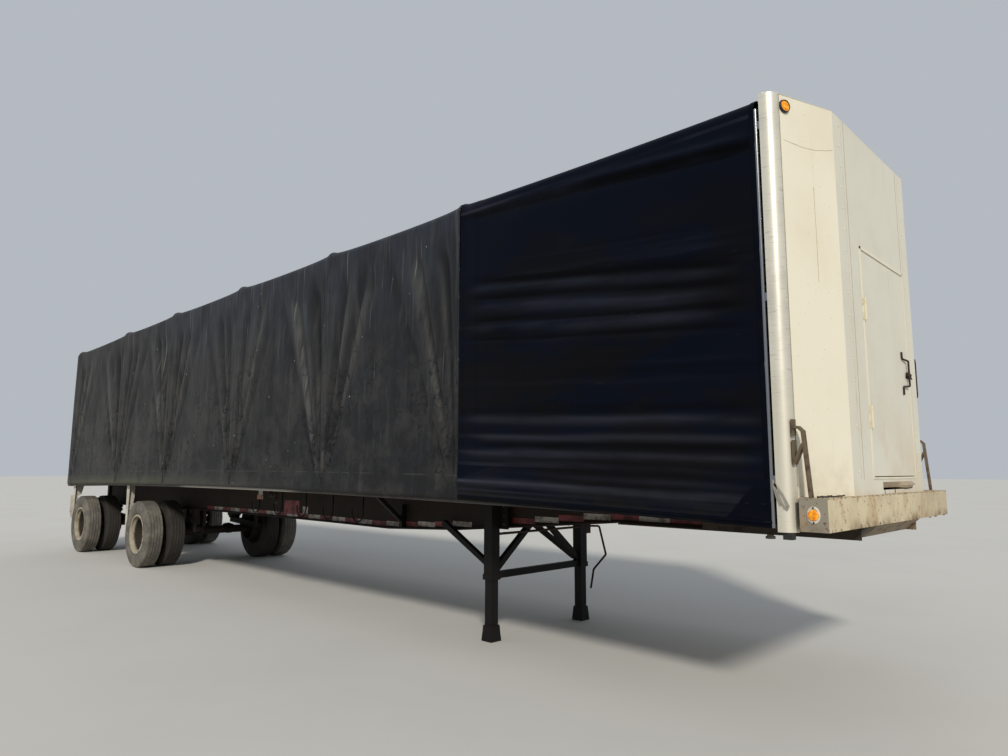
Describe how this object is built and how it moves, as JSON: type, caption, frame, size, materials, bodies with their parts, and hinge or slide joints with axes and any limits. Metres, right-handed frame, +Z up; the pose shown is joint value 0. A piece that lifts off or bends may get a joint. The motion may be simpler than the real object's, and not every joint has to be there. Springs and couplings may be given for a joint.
{
  "type": "semi trailer",
  "caption": "Flatbed semi trailer with a sliding tarpaulin cover on bows, nosed headboard with hinged door, landing legs, kingpin and spread axles on air springs.",
  "frame": {"origin": "on the ground under the middle of the body's length and width", "axes": "+X forward to the headboard, +Y to the trailer's left side, +Z up"},
  "size_m": [14.63, 2.622, 3.96],
  "materials": {
    "frame_paint": "worn",
    "bare_steel": "worn",
    "deck_wood": "worn",
    "rail_aluminium": "satin",
    "rail_paint": "worn",
    "red_lens": "gloss",
    "amber_lens": "gloss",
    "post_aluminium": "satin",
    "headboard_paint": "satin",
    "black_rubber": "matte",
    "rusty_steel": "rusted",
    "dark_cover": "glossy vinyl",
    "grey_cover": "faded vinyl",
    "tyre_rubber": "matte",
    "rim_paint": "worn",
    "hub_iron": "worn"
  },
  "bodies": {
    "trailer": {"main_beams": "frame_paint", "crossmembers": "frame_paint", "coupler_plate": "frame_paint", "kingpin": "bare_steel", "deck_floor": "deck_wood", "side_rails": "rail_aluminium", "slide_tracks": "rail_aluminium", "front_rail": "rail_paint", "rear_sill": "frame_paint", "tail_lamps": "red_lens", "marker_lamps": "amber_lens", "corner_posts": "post_aluminium", "headboard_sides": "headboard_paint", "headboard_front": "headboard_paint", "post_buffers": "black_rubber", "headboard_cap": "rail_aluminium", "hinge_frame_leaves": "bare_steel", "cover_latches": "rusty_steel", "bow_carriages": "rusty_steel", "bow_posts": "rail_aluminium", "bow_roofs": "rail_aluminium", "tension_pipes": "rail_aluminium", "cover_front": "dark_cover", "cover_main": "grey_cover", "cover_rear_curtain": "grey_cover", "leg_housings": "frame_paint", "leg_feet": "rusty_steel", "leg_braces": "frame_paint", "leg_crank": "rusty_steel", "axles": "frame_paint", "spring_hangers": "frame_paint", "trailing_arms": "frame_paint", "air_springs": "black_rubber", "brake_chambers": "frame_paint", "air_tanks": "frame_paint", "flap_arms": "frame_paint", "mud_flaps": "black_rubber", "rear_bumper": "frame_paint", "rail_hooks": "rusty_steel", "strap_winch": "rusty_steel", "side_lamp_bracket": "rusty_steel", "side_lamp": "amber_lens", "side_struts": "frame_paint"},
    "door": {"access_door": "headboard_paint", "hinge_door_leaves": "bare_steel", "door_handle": "bare_steel"},
    "wheel_front_right": {"wheel_front_right_tyres": "tyre_rubber", "wheel_front_right_rims": "rim_paint", "wheel_front_right_hub": "hub_iron"},
    "wheel_front_left": {"wheel_front_left_tyres": "tyre_rubber", "wheel_front_left_rims": "rim_paint", "wheel_front_left_hub": "hub_iron"},
    "wheel_rear_right": {"wheel_rear_right_tyres": "tyre_rubber", "wheel_rear_right_rims": "rim_paint", "wheel_rear_right_hub": "hub_iron"},
    "wheel_rear_left": {"wheel_rear_left_tyres": "tyre_rubber", "wheel_rear_left_rims": "rim_paint", "wheel_rear_left_hub": "hub_iron"}
  },
  "joints": [
    {"name": "door_hinge", "type": "hinge", "parent": "trailer", "child": "door", "pos_m": [7.294, -0.363, 2.28], "axis": [0, 0, -1], "range_deg": [0, 110]},
    {"name": "wheel_front_right_roll", "type": "hinge", "parent": "trailer", "child": "wheel_front_right", "pos_m": [-3.425, -0.985, 0.52], "axis": [0, 1, 0], "continuous": true},
    {"name": "wheel_front_left_roll", "type": "hinge", "parent": "trailer", "child": "wheel_front_left", "pos_m": [-3.425, 0.985, 0.52], "axis": [0, 1, 0], "continuous": true},
    {"name": "wheel_rear_right_roll", "type": "hinge", "parent": "trailer", "child": "wheel_rear_right", "pos_m": [-6.455, -0.985, 0.52], "axis": [0, 1, 0], "continuous": true},
    {"name": "wheel_rear_left_roll", "type": "hinge", "parent": "trailer", "child": "wheel_rear_left", "pos_m": [-6.455, 0.985, 0.52], "axis": [0, 1, 0], "continuous": true}
  ]
}
